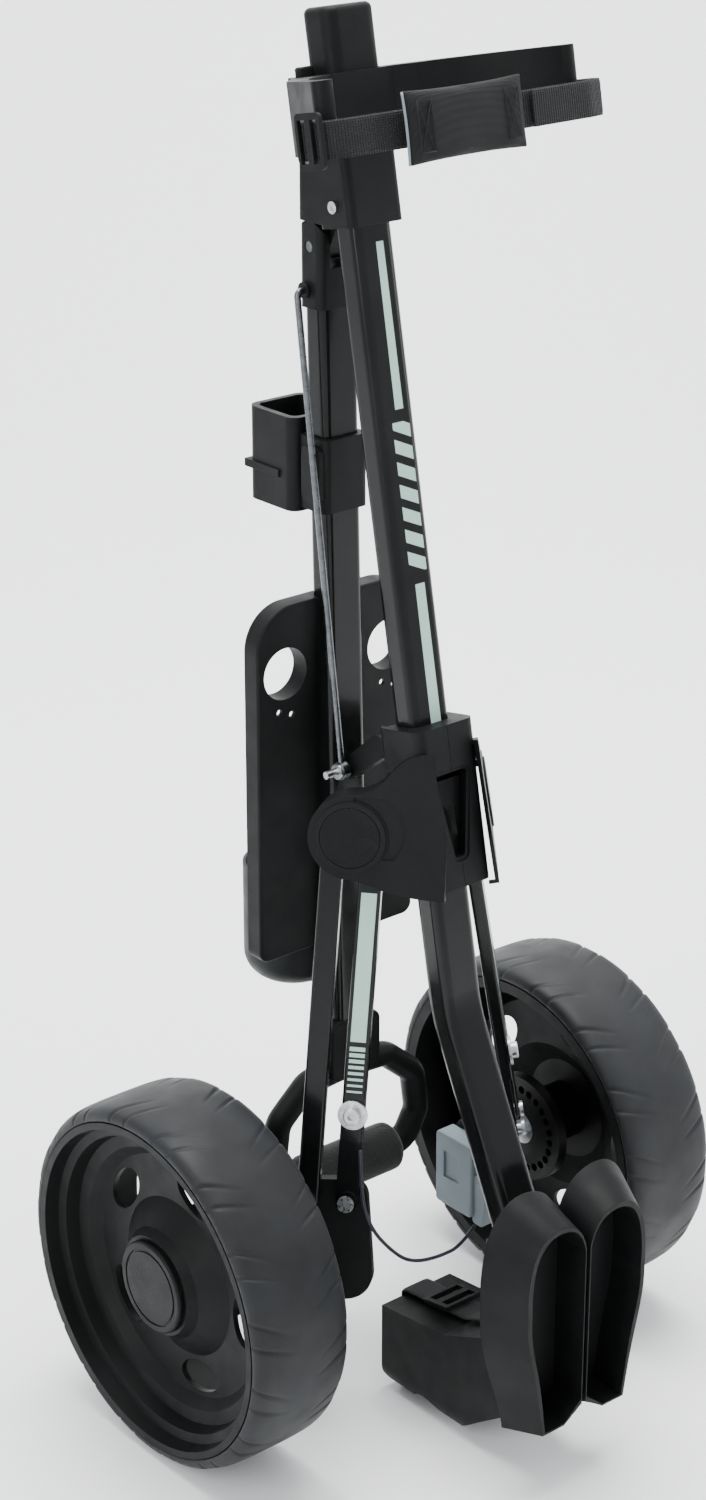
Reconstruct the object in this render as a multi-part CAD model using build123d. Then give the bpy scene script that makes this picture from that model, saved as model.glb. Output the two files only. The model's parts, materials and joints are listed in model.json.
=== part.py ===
from build123d import *
import os
from math import cos, sin, tan, radians

os.makedirs("parts", exist_ok=True)

# Two-wheel folding pull trolley for a golf bag, folded, standing on its wheels and its heel.
# Lengths are in mm and angles in degrees. -Y is the bag side, +X the right side, z = 0 the ground.
# Everything is laid out from a point on the ground below the wheel axles, and AXLE_Y then
# moves the whole trolley so that the middle of its box is at y = 0.

# ---- overall sizes
WHEEL_RADIUS = 146.0
WHEEL_WIDTH = 87.0
OVERALL_WIDTH = 468.6
FRAME_TOP_Z = 1030.0
AXLE_Y = 47.5

# ---- fits
RUN_GAP = 0.05          # radial gap of a pin or shaft that turns in its hole
SLIDE_GAP = 0.3         # gap between faces that move past each other
LOOSE_GAP = 0.6         # gap round parts that only pass each other

# ---- wheels
LIP_RADIUS = 133.6
TREAD_SHOULDER = 9.0
HUB_RADIUS = 24.0
CAP_RADIUS = 37.0
CAP_INSET = 7.5
LIGHTENING_HOLES = 5
AXLE_RADIUS = 6.0
BEARING_RADIUS = 14.0
BEARING_WIDTH = 8.0
RATCHET_SLOTS = 24
RATCHET_RADIUS = 46.0
RATCHET_DEPTH = 9.0
BRAKE_PIN_RADIUS = 3.0
BRAKE_PIN_ORBIT = 35.0

# ---- main tube
MAIN_W = 36.0
MAIN_D = 25.0
TUBE_WALL = 2.0
MAIN_LEAN = 10.8
FOOT_LEAN = 25.4
BEND_Y = -91.5
BEND_Z = 343.0
FOOT_RUN = 238.0
BEND_RADIUS = 130.0

# ---- handle
HINGE_Y = 57.0
HINGE_Z = 905.0
HANDLE_W = 34.0
HANDLE_D = 22.0
HANDLE_LEAN = 1.7
PIN_RADIUS = 4.0
HOOK_DROP = 32.0
HOOK_BACK = 3.0
ROD_RADIUS = 2.5
ROD_X = -28.0
ROD_FOOT_Y = 10.0
ROD_FOOT_Z = 515.0

# ---- legs
LEG_TURN = 50.0         # the hinge axis points this far sideways from straight ahead
LEG_TILT = 9.0          # and this far up
LEG_BOLT = (-80.4, -65.1, 270.8)
LINK_WIDTH = 17.5
LINK_THICK = 11.0
LINK_SPACING = 30.0
UPPER_PIVOT = (-9.0, -215.0)
LOWER_PIVOT = (3.5, 72.0)
WASHER_RADIUS = 11.5

# ---- bag brackets
ARM_TIP_X = 106.0
ARM_TIP_Y = -118.0
ARM_HEIGHT = 50.0
BAG_RADIUS = 104.0
BAG_CENTRE_Y = -125.0
WEBBING_WIDTH = 25.4
WEBBING_THICK = 2.4
CAP_HEIGHT = 46.0

# ---- console
CONSOLE_HALF_W = 77.0
CONSOLE_BOTTOM = 352.0
CONSOLE_TOP = 640.0
CONSOLE_WALL = 3.0
BALL_HOLE_RADIUS = 20.5
BALL_HOLE_X = 50.6
BALL_HOLE_Z = 587.0

WHEEL_X = (OVERALL_WIDTH - WHEEL_WIDTH) / 2
WHEEL_INNER_X = WHEEL_X - WHEEL_WIDTH / 2
AXLE_Z = WHEEL_RADIUS

# ---- wheel carriers
CARRIER_INNER_X = 106.0
CARRIER_OUTER_X = WHEEL_INNER_X - 3.0
CARRIER_PLATE_LOW = -LINK_THICK - SLIDE_GAP - 9.0
CARRIER_PLATE_HIGH = -LINK_THICK - SLIDE_GAP

# ---- cover over the pivots
COVER_FACE = 14.0
BADGE_AT = (5.8, -220.0)
BADGE_RADIUS = 22.5
SLEEVE_FRONT = 27.5      # from the tube's middle to the sleeve's front face

# ---- knuckle and upper collar
KNUCKLE_HALF_X = 19.5
KNUCKLE_HALF_Y = 12.5
KNUCKLE_LOW = 860.0
KNUCKLE_TOP = HINGE_Z + 18.5
LUG_HALF_X = 9.7
LUG_RADIUS = 11.0
FORK_FLOOR = HINGE_Z - 15.0
COLLAR_LOW = 925.0
COLLAR_HIGH = 976.0
COLLAR_REAR = 64.5
COLLAR_HALF_X = 24.5
SCREW_Z = 940.0

# ---- console, pocket and accessory clamp
CONSOLE_Y = 49.0
CONSOLE_DEPTH = 16.0
POCKET_RADIUS = 40.0
POCKET_WALL = 2.5
SOCKET_Z0, SOCKET_Z1 = 704.0, 776.0

# ---- grip
HANDLE_FOOT_Z = 262.0
GRIP_Y = 39.5
GRIP_BAR_Z = 153.0

# ---- strap and pad
STRAP_DROP = -38.0
STRAP_FRONT = ARM_TIP_Y - 9.0
PAD_HALF_W = 54.0
PAD_HEIGHT = 52.0
PAD_THICK = 9.0

# ---- lower bag bracket and heel
PETAL_FRONT = -241.0
PETAL_BACK = -206.0
HEEL_REAR = -48.0
HEEL_HALF_W = 36.0

# ---- brake cable
CABLE_RADIUS = 1.5


def save(name, shape):
    """Writes one node, moved so that the middle of the trolley's box is at y = 0."""
    shape = Pos(0, AXLE_Y, 0) * shape
    shape.label = name
    export_step(shape, "parts/" + name + ".step")


def save_pair(name, left_shape):
    """Writes a left-hand piece and its mirror image."""
    save(name + "_left", left_shape)
    save(name + "_right", mirror(left_shape, about=Plane.YZ))


def both_sides(left_shape):
    """A left-hand piece and its mirror image as one node, where the two are fixed to each other."""
    solids = [*left_shape.solids(), *mirror(left_shape, about=Plane.YZ).solids()]
    return Compound(solids)


def cylinder_x(radius, x0, x1, y=0.0, z=0.0):
    """A round bar along X."""
    plane = Plane(origin=(x0, y, z), x_dir=(0, 1, 0), z_dir=(1, 0, 0))
    return extrude(plane * Circle(radius), x1 - x0)


def block(x0, x1, y0, y1, z0, z1):
    """A box given by its limits."""
    middle = Pos((x0 + x1) / 2, (y0 + y1) / 2, (z0 + z1) / 2)
    return middle * Box(x1 - x0, y1 - y0, z1 - z0)


def front_plane(y):
    """A plane that faces the bag side, x sideways and y up."""
    return Plane(origin=(0, y, 0), x_dir=(1, 0, 0), z_dir=(0, -1, 0))


def side_plane(x):
    """A plane that faces +X, with x to the rear and y up."""
    return Plane(origin=(x, 0, 0), x_dir=(0, 1, 0), z_dir=(1, 0, 0))


def hull_of(*discs):
    """The outline stretched round discs given as (x, y, radius)."""
    return make_hull([(Pos(x, y) * Circle(radius)).edge() for x, y, radius in discs])


# ---- lines that the frame follows
def lean_dir(angle):
    """The upward direction of a tube that leans back by an angle."""
    return Vector(0, sin(radians(angle)), cos(radians(angle)))


MAIN_RUN = (FRAME_TOP_Z - BEND_Z) / cos(radians(MAIN_LEAN))
MAIN_TOP = Vector(0, BEND_Y, BEND_Z) + lean_dir(MAIN_LEAN) * MAIN_RUN
MAIN_FOOT = Vector(0, BEND_Y, BEND_Z) - lean_dir(FOOT_LEAN) * FOOT_RUN


def main_centre_y(z):
    """The main tube's middle above its bend."""
    return BEND_Y + (z - BEND_Z) * tan(radians(MAIN_LEAN))


def handle_centre_y(z):
    """The folded handle tube's middle."""
    return HINGE_Y - (HINGE_Z - z) * tan(radians(HANDLE_LEAN))


def main_path():
    points = [MAIN_FOOT, Vector(0, BEND_Y, BEND_Z), MAIN_TOP]
    return FilletPolyline(*points, radius=BEND_RADIUS)


def main_bar(grow=0.0):
    """The main tube's outer shape, grown all round by a gap or shrunk by a wall."""
    path = main_path()
    plane = Plane(origin=path @ 0, x_dir=(1, 0, 0), z_dir=path % 0)
    section = plane * RectangleRounded(MAIN_W + 2 * grow, MAIN_D + 2 * grow, 7 + grow)
    return sweep(section, path=path)


def handle_plane(z):
    """A plane across the folded handle tube, x sideways and y to the rear."""
    return Plane(origin=(0, handle_centre_y(z), z), x_dir=(1, 0, 0), z_dir=lean_dir(HANDLE_LEAN))


def handle_bar(z0, z1, grow=0.0):
    section = handle_plane(z0) * RectangleRounded(HANDLE_W + 2 * grow, HANDLE_D + 2 * grow, 6 + grow)
    return extrude(section, (z1 - z0) / cos(radians(HANDLE_LEAN)))


# ---- the leg's own plane: x along the swing, y down the leg, z out of the leg's face
LEG_OUT = Vector(-sin(radians(LEG_TURN)) * cos(radians(LEG_TILT)),
                 -cos(radians(LEG_TURN)) * cos(radians(LEG_TILT)),
                 sin(radians(LEG_TILT)))
LEG_SWING = Vector(-cos(radians(LEG_TURN)), sin(radians(LEG_TURN)), 0)
LEG = Plane(origin=LEG_BOLT, x_dir=LEG_SWING, z_dir=LEG_OUT)


def leg_disc(at, radius, low, high):
    """A disc or pin square to the leg's face."""
    return extrude(LEG * Pos(at[0], at[1], low) * Circle(radius), high - low)


def leg_slab(outline, low, high):
    """A flat shape in the leg's plane, given its thickness."""
    return extrude(LEG * Pos(0, 0, low) * outline, high - low)


REAR_UPPER = (UPPER_PIVOT[0] + LINK_SPACING, UPPER_PIVOT[1])
REAR_LOWER = (LOWER_PIVOT[0] + LINK_SPACING, LOWER_PIVOT[1])


# ---- wheels, made for the left side
def wheel_ring(points):
    """Turns an outline of (radius, distance out from the wheel's middle) about the axle."""
    plane = Plane(origin=(-WHEEL_X, 0, AXLE_Z), x_dir=(0, 0, 1), z_dir=(0, -1, 0))
    face = make_face(plane * Polyline(*points, close=True))
    return revolve(face, Axis((-WHEEL_X, 0, AXLE_Z), (1, 0, 0)), 360)


def tyre():
    half = WHEEL_WIDTH / 2
    seat = LIP_RADIUS - 4.0
    outline = [(seat, -half + 6), (LIP_RADIUS + 1, -half + 6), (LIP_RADIUS + 1, -half)]
    outline += [(WHEEL_RADIUS - TREAD_SHOULDER * 0.7, -half)]
    outline += [(WHEEL_RADIUS - 2, -half + TREAD_SHOULDER * 0.5)]
    outline += [(WHEEL_RADIUS, -half + TREAD_SHOULDER * 1.6)]
    mirrored = [(r, -x) for r, x in reversed(outline)]
    ring = wheel_ring(outline + mirrored)
    round_edges = ring.edges().filter_by(GeomType.CIRCLE)
    shoulders = [edge for edge in round_edges if edge.radius > WHEEL_RADIUS - TREAD_SHOULDER]
    return fillet(shoulders, 2.0)


def rim_profile():
    half = WHEEL_WIDTH / 2
    seat = LIP_RADIUS - 4.0
    lip = half
    outer = [(HUB_RADIUS, 30.0), (CAP_RADIUS + 3, 31.0), (CAP_RADIUS + 8, 24.0), (64, 9.0), (98, 9.0)]
    outer += [(106, 17.0), (116, 19.0), (119, 30.0), (126, 32.0), (128, lip), (LIP_RADIUS, lip)]
    outer += [(LIP_RADIUS, lip - 5.5), (seat, lip - 5.5), (seat, -lip + 5.5), (LIP_RADIUS, -lip + 5.5)]
    inner = [(LIP_RADIUS, -lip), (seat - 5, -lip), (seat - 5, 15.0), (115, 15.0), (108, 13.0)]
    inner += [(100, 4.5), (62, 4.5), (CAP_RADIUS + 6, 18.0), (HUB_RADIUS, 18.0)]
    hub = [(HUB_RADIUS, -34.0), (BEARING_RADIUS - 3, -34.0), (BEARING_RADIUS - 3, 30.0)]
    return outer + inner + hub


def lightening_hole(turn):
    """One oval hole through the rim's dish."""
    plane = Plane(origin=(-WHEEL_X, 0, AXLE_Z), x_dir=(0, 1, 0), z_dir=(-1, 0, 0))
    oval = plane * Rot(0, 0, turn) * Pos(0, 81) * Ellipse(24, 13)
    return extrude(oval, 20)


def rim():
    body = wheel_ring(rim_profile())
    for i in range(LIGHTENING_HOLES):
        body -= lightening_hole(90 + i * 360 / LIGHTENING_HOLES)
    for x0 in (-WHEEL_X + 34 - BEARING_WIDTH, -WHEEL_X - 30):
        body -= cylinder_x(BEARING_RADIUS, x0, x0 + BEARING_WIDTH, 0, AXLE_Z)
    return body + ratchet_ring()


def wheel_bearings():
    parts = []
    for x0 in (-WHEEL_X + 34 - BEARING_WIDTH, -WHEEL_X - 30):
        ring = cylinder_x(BEARING_RADIUS, x0, x0 + BEARING_WIDTH, 0, AXLE_Z)
        parts.append(ring - cylinder_x(AXLE_RADIUS + RUN_GAP, x0 - 1, x0 + BEARING_WIDTH + 1, 0, AXLE_Z))
    return Compound(parts)


def ratchet_ring():
    """The ring of slots moulded on the hub, which the brake pin drops into."""
    x0 = -WHEEL_X + 34
    ring = cylinder_x(RATCHET_RADIUS, x0 - RATCHET_DEPTH, x0, 0, AXLE_Z)
    ring -= cylinder_x(HUB_RADIUS - 1, x0 - RATCHET_DEPTH - 1, x0 + 1, 0, AXLE_Z)
    slot = cylinder_x(BRAKE_PIN_RADIUS + 0.5, x0 - RATCHET_DEPTH + 2, x0 + 1, 0, AXLE_Z + BRAKE_PIN_ORBIT)
    spin = Axis((0, 0, AXLE_Z), (1, 0, 0))
    for i in range(RATCHET_SLOTS):
        ring -= slot.rotate(spin, i * 360 / RATCHET_SLOTS)
    return ring


def hub_cap():
    x_face = -OVERALL_WIDTH / 2 + CAP_INSET
    back = -WHEEL_X - 31
    cap = cylinder_x(CAP_RADIUS, x_face, back, 0, AXLE_Z)
    cap = fillet(cap.edges().group_by(Axis.X)[0], 2.5)
    groove = cylinder_x(CAP_RADIUS - 6, x_face - 1, x_face + 1, 0, AXLE_Z)
    groove -= cylinder_x(CAP_RADIUS - 8, x_face - 1, x_face + 1, 0, AXLE_Z)
    hollow = cylinder_x(HUB_RADIUS - 3, back - 2.5, back + 1, 0, AXLE_Z)
    return cap - groove - hollow


def axle():
    shaft = cylinder_x(AXLE_RADIUS, -WHEEL_X - 31, -CARRIER_INNER_X, 0, AXLE_Z)
    head = cylinder_x(AXLE_RADIUS + 4, -CARRIER_INNER_X, -CARRIER_INNER_X + 5, 0, AXLE_Z)
    return shaft + head


# ---- wheel carrier


def carrier():
    """Teardrop plate under the two links, and the block behind it that holds the axle."""
    front, rear = LOWER_PIVOT, REAR_LOWER
    tail = (5.0, 133.0)
    outline = hull_of((*front, 15), (*rear, 13), (*tail, 22))
    plate = leg_slab(outline, CARRIER_PLATE_LOW, CARRIER_PLATE_HIGH)
    boss = cylinder_x(26, -CARRIER_OUTER_X, -CARRIER_INNER_X, 0, AXLE_Z)
    outline = hull_of((0, AXLE_Z, 22), (-62, AXLE_Z + 12, 20))
    web = extrude(side_plane(-CARRIER_OUTER_X) * outline, CARRIER_OUTER_X - CARRIER_INNER_X)
    body = boss + web
    body -= leg_slab(Pos(10, 60) * Rectangle(400, 400), CARRIER_PLATE_HIGH, 120)
    body = body + plate
    body -= cylinder_x(AXLE_RADIUS, -CARRIER_OUTER_X - 1, -CARRIER_INNER_X + 1, 0, AXLE_Z)
    pin_hole = cylinder_x(BRAKE_PIN_RADIUS + RUN_GAP, -CARRIER_OUTER_X - 1, -CARRIER_INNER_X + 20,
                          0, AXLE_Z - BRAKE_PIN_ORBIT)
    body -= pin_hole
    for at in (front, rear):
        body -= leg_disc(at, PIN_RADIUS, CARRIER_PLATE_LOW - 30, CARRIER_PLATE_HIGH + 1)
    return body


def leg_pins_lower():
    """The two pins of the carrier that the links turn on."""
    pins = []
    for at in (LOWER_PIVOT, REAR_LOWER):
        pin = leg_disc(at, PIN_RADIUS, CARRIER_PLATE_LOW - 4, 0.5)
        pins.append(pin + leg_disc(at, PIN_RADIUS + 2.5, 0.5, 3.0))
    return Compound(pins)


# ---- parking brake
def brake_housing():
    """The pale box on the carrier's inner face, with the cable's gland at its foot."""
    x0, x1 = -CARRIER_INNER_X + SLIDE_GAP, -CARRIER_INNER_X + 17
    body = block(x0, x1, -14, 30, AXLE_Z - 56, AXLE_Z + 10)
    body = fillet(body.edges().filter_by(Axis.X), 4)
    body = fillet(body.faces().sort_by(Axis.X)[-1].edges(), 1.6)
    gland = block(x0, x1 - 3, -26, -13, AXLE_Z - 60, AXLE_Z - 16)
    gland = fillet(gland.edges().filter_by(Axis.X), 3)
    body = body + gland
    body -= block(x1 - 2, x1 + 1, 2, 20, AXLE_Z - 30, AXLE_Z - 6)
    body -= cylinder_x(AXLE_RADIUS + 4 + LOOSE_GAP, x0 - 1, x0 + 6, 0, AXLE_Z)
    body -= cylinder_x(BRAKE_PIN_RADIUS + 1.6, x0 - 1, x0 + 13, 0, AXLE_Z - BRAKE_PIN_ORBIT)
    return body


def brake_pin():
    """Slides outward into the ratchet ring."""
    tip = -WHEEL_X + 34 + 0.8
    tail = -CARRIER_INNER_X + 2.5
    pin = cylinder_x(BRAKE_PIN_RADIUS, tip, tail, 0, AXLE_Z - BRAKE_PIN_ORBIT)
    return pin + cylinder_x(BRAKE_PIN_RADIUS + 1.2, tail, tail + 3, 0, AXLE_Z - BRAKE_PIN_ORBIT)


def brake_pedal():
    """Small foot lever behind the left housing."""
    x0, x1 = -CARRIER_INNER_X + 2, -CARRIER_INNER_X + 15
    hub = cylinder_x(7, x0, x1, 38, AXLE_Z - 8)
    arm = block(x0, x1, 38, 74, AXLE_Z - 12, AXLE_Z - 4)
    pad = block(x0 - 4, x1 + 4, 66, 92, AXLE_Z - 15, AXLE_Z - 5)
    pad = fillet(pad.edges(), 3)
    body = hub + arm + pad
    return body - cylinder_x(PIN_RADIUS + RUN_GAP, x0 - 1, x1 + 1, 38, AXLE_Z - 8)


def pedal_pin():
    """Pin and two ears that carry the pedal."""
    x0, x1 = -CARRIER_INNER_X + 2, -CARRIER_INNER_X + 15
    pin = cylinder_x(PIN_RADIUS, x0 - 4, x1 + 4, 38, AXLE_Z - 8)
    ears = []
    for low in (x0 - 4, x1 + 0.6):
        ear = block(low, low + 3.4, 30, 44, AXLE_Z - 15, AXLE_Z - 1)
        ears.append(ear)
    return pin + ears[0] + ears[1]


# ---- leg links
def link_outline(upper, lower, width):
    return hull_of((*upper, width / 2), (*lower, width / 2))


def front_link():
    """Flat oval tube, thick above the bolt and thin below it."""
    body = leg_slab(link_outline(UPPER_PIVOT, LOWER_PIVOT, LINK_WIDTH), -LINK_THICK, 0)
    body = fillet(body.edges().group_by(SortBy.LENGTH)[-1], 2.2)
    step = leg_slab(Pos(LOWER_PIVOT[0], 62) * Rectangle(60, 80), -3, 1)
    body -= step
    for at in (UPPER_PIVOT, LOWER_PIVOT):
        body -= leg_disc(at, PIN_RADIUS + RUN_GAP, -LINK_THICK - 1, 1)
    return body - leg_disc((0, 0), 3.0, -8, 1)


def rear_link():
    body = leg_slab(link_outline(REAR_UPPER, REAR_LOWER, LINK_WIDTH - 0.5), -LINK_THICK, 0)
    body = fillet(body.edges().group_by(SortBy.LENGTH)[-1], 2.2)
    body -= leg_disc(REAR_UPPER, PIN_RADIUS + RUN_GAP, -LINK_THICK - 1, 1)
    return body - leg_disc(REAR_LOWER, PIN_RADIUS + 0.3, -LINK_THICK - 1, 1)


def link_bolt():
    """Hex-socket bolt with a wide washer, which also holds the cable's nipple."""
    washer = leg_disc((0, 0), WASHER_RADIUS, 0, 2)
    head = leg_disc((0, 0), 6.5, 2, 7)
    head = fillet(head.edges().filter_by(GeomType.CIRCLE).sort_by(SortBy.DISTANCE)[-1:], 1.0)
    shank = leg_disc((0, 0), 3.0, -8, 0)
    socket = leg_slab(RegularPolygon(3.2, 6), 4, 8)
    return washer + head + shank - socket


def upper_pins():
    """Pins in the pivot block that the links hang from."""
    pins = []
    for at in (UPPER_PIVOT, REAR_UPPER):
        pin = leg_disc(at, PIN_RADIUS, -LINK_THICK - 9, 0.5)
        pins.append(pin + leg_disc(at, PIN_RADIUS + 2.5, 0.5, 3.0))
    return Compound(pins)


def pivot_block():
    """Casting round the main tube, with a tilted plate on each side for the links."""
    low, high = -LINK_THICK - 10.0, -LINK_THICK - SLIDE_GAP
    outline = hull_of((*UPPER_PIVOT, 13), (*REAR_UPPER, 13), (-46, UPPER_PIVOT[1] - 12, 20))
    plate = leg_slab(outline, low, high)
    collar = sleeve(25, 18, 20, 3, 462, 524)
    body = collar + plate + mirror(plate, about=Plane.YZ)
    body -= main_bar()
    for at in (UPPER_PIVOT, REAR_UPPER):
        hole = leg_disc(at, PIN_RADIUS, low - 1, high + 1)
        body = body - hole - mirror(hole, about=Plane.YZ)
    return body


# ---- cover over the pivots
MAIN_FRONT = Vector(0, -cos(radians(MAIN_LEAN)), sin(radians(MAIN_LEAN)))


def cover_outline(inset=0.0):
    """The wing's outline in the leg's plane: a round end that flares towards the tube."""
    x, y = BADGE_AT
    r = 32.0 - inset
    edge = 66.0
    path = Polyline((-edge, -290 + inset), (-40, -284 + inset))
    top = Spline((-40, -284 + inset), (-16, -262 + inset), (x, y - r), tangents=((1, 0.35), (1, 0.1)))
    half_round = ThreePointArc((x, y - r), (x + r, y), (x, y + r))
    low = Spline((x, y + r), (-24, y + 40 - inset), (-edge, y + 44 - inset), tangents=((-1, 0.1), (-1, 0.05)))
    close = Line((-edge, y + 44 - inset), (-edge, -290 + inset))
    return make_face([path, top, half_round, low, close])


def sleeve_outline(x_half, y_front, y_back, corner):
    return Pos(0, (y_front + y_back) / 2) * RectangleRounded(2 * x_half, y_back - y_front, corner)


def sleeve(x_half, front, back, corner, z0, z1):
    """A block that follows the main tube's lean."""
    plane = Plane(origin=(0, main_centre_y(z0), z0), x_dir=(1, 0, 0), z_dir=lean_dir(MAIN_LEAN))
    outline = plane * sleeve_outline(x_half, -front, back, corner)
    return extrude(outline, (z1 - z0) / cos(radians(MAIN_LEAN)))


def left_of(x):
    return block(-300, x, -400, 300, 0, 1200)


def pivot_cover():
    """Left shell of the housing: a wing over the links and half of the sleeve round the tube."""
    wing = leg_slab(cover_outline(), -12, COVER_FACE)
    hollow = leg_slab(cover_outline(3.0), -13, COVER_FACE - 3.0)
    mouth = leg_slab(Pos(10, BADGE_AT[1] + 60) * Rectangle(150, 120), -13, COVER_FACE - 3.0)
    mouth_right = leg_slab(Pos(40, BADGE_AT[1] + 20) * Rectangle(60, 60), -13, COVER_FACE - 3.0)
    shell = sleeve(28, SLEEVE_FRONT, 20, 8, 444, 566)
    inner = sleeve(25.4, 18.5, 21, 3, 440, 563)
    tube_gap = main_bar(0.3)
    slider_way = sleeve(23, -12.5, 40, 2, 556, 600)
    wing = wing + badge_ring() - badge_facet()
    body = (wing - hollow - mouth - mouth_right) & left_of(-22)
    body = body + (shell - inner - slider_way)
    body = body - cover_window()
    body = body - tube_gap
    return (body & left_of(-0.15)) - pivot_block_space()


def badge_ring():
    """Raised ring round the badge."""
    outer = leg_disc(BADGE_AT, BADGE_RADIUS + 4.5, COVER_FACE - 1, COVER_FACE + 1.4)
    return outer - leg_disc(BADGE_AT, BADGE_RADIUS + 0.4, COVER_FACE - 2, COVER_FACE + 2)


def badge_facet():
    """Shallow crescent sunk into the wing beside the ring."""
    x, y = BADGE_AT
    crescent = Pos(x - 11, y - 6) * Circle(30) - Pos(x, y) * Circle(BADGE_RADIUS + 6)
    crescent = crescent & (Pos(x - 30, y - 8) * Rectangle(56, 46))
    return leg_slab(crescent, COVER_FACE - 1.2, COVER_FACE + 1)


def cover_window():
    """Tall window in the sleeve's front, narrower at its foot, in a shallow recess."""
    front = Plane(origin=(0, main_centre_y(500), 500), x_dir=(1, 0, 0), z_dir=MAIN_FRONT)
    outline = make_face(Polyline((-4.5, -34), (-15.5, 31), (15.5, 31), (4.5, -34), close=True))
    outline = fillet(outline.vertices(), 2.5)
    recess = offset(outline, 3.0)
    opening = extrude(front * Pos(0, 0, 13) * outline, 20)
    return opening + extrude(front * Pos(0, 0, SLEEVE_FRONT - 1.4) * recess, 10)


def pivot_block_space():
    low = -LINK_THICK - 11.0
    outline = hull_of((*UPPER_PIVOT, 14), (*REAR_UPPER, 14), (-46, UPPER_PIVOT[1] - 12, 21))
    return leg_slab(outline, low, -LINK_THICK)


def cover_badge():
    return leg_disc(BADGE_AT, BADGE_RADIUS, COVER_FACE, COVER_FACE + 1.6)


# ---- handle
def handle_tube():
    """Folded handle tube, hollow, from inside the knuckle down into the junction block."""
    z1 = HINGE_Z - 20.0
    return handle_bar(HANDLE_FOOT_Z, z1) - handle_bar(HANDLE_FOOT_Z - 1, z1 + 1, -TUBE_WALL)


def knuckle():
    """Sleeve on the handle tube's end, with a fork that turns on the collar's lug."""
    y = handle_centre_y(KNUCKLE_LOW + 20)
    height = KNUCKLE_TOP - KNUCKLE_LOW
    outline = Pos(y, KNUCKLE_LOW + height / 2) * Rectangle(2 * KNUCKLE_HALF_Y, height)
    outline = fillet(outline.vertices().group_by(Axis.Y)[-1], 10)
    body = extrude(side_plane(-KNUCKLE_HALF_X) * outline, 2 * KNUCKLE_HALF_X)
    plan = Pos(0, y, KNUCKLE_LOW) * RectangleRounded(2 * KNUCKLE_HALF_X, 2 * KNUCKLE_HALF_Y, 6)
    body = body & extrude(plan, height)
    half_slot = LUG_HALF_X + SLIDE_GAP
    body -= block(-half_slot, half_slot, y - 30, y + 30, FORK_FLOOR, KNUCKLE_TOP + 1)
    body -= cylinder_x(PIN_RADIUS + RUN_GAP, -40, 40, HINGE_Y, HINGE_Z)
    hook_y, hook_z = HINGE_Y + HOOK_BACK, HINGE_Z - HOOK_DROP
    ear = cylinder_x(6, -KNUCKLE_HALF_X - 3, -KNUCKLE_HALF_X + 1, hook_y, hook_z)
    body = body + ear - handle_bar(KNUCKLE_LOW - 5, HINGE_Z - 20.0)
    return body - cylinder_x(ROD_RADIUS + RUN_GAP, -KNUCKLE_HALF_X - 4, -HANDLE_W / 2, hook_y, hook_z)


def hinge_pin():
    return cylinder_x(PIN_RADIUS, -KNUCKLE_HALF_X + 0.5, KNUCKLE_HALF_X - 0.5, HINGE_Y, HINGE_Z)


def upper_collar():
    """Band round the main tube and over the hinge, with a lug below it that carries the hinge pin."""
    body = sleeve(COLLAR_HALF_X, 18, 20, 6, COLLAR_LOW, COLLAR_HIGH)
    rear = block(-COLLAR_HALF_X, COLLAR_HALF_X, 18, COLLAR_REAR, COLLAR_LOW, 966)
    rear = fillet(rear.edges().filter_by(Axis.Z), 6)
    lug = hull_of((HINGE_Y, HINGE_Z, LUG_RADIUS), (40, 940, LUG_RADIUS))
    body = body + rear + extrude(side_plane(-LUG_HALF_X) * lug, 2 * LUG_HALF_X)
    body -= main_bar()
    body -= cylinder_x(PIN_RADIUS, -LUG_HALF_X - 1, LUG_HALF_X + 1, HINGE_Y, HINGE_Z)
    return body - cylinder_x(2.5, -30, 30, main_centre_y(SCREW_Z), SCREW_Z)


def collar_screws():
    """Socket screws that pinch the collar on the main tube."""
    y = main_centre_y(SCREW_Z)
    x = COLLAR_HALF_X
    parts = []
    for side in (-1, 1):
        head = cylinder_x(4.5, x * side, (x + 2) * side, y, SCREW_Z)
        shank = cylinder_x(2.5, (x - 5) * side, x * side, y, SCREW_Z)
        socket = cylinder_x(2.2, (x + 0.8) * side, (x + 3) * side, y, SCREW_Z)
        parts.append(head + shank - socket)
    return Compound(parts)


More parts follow.
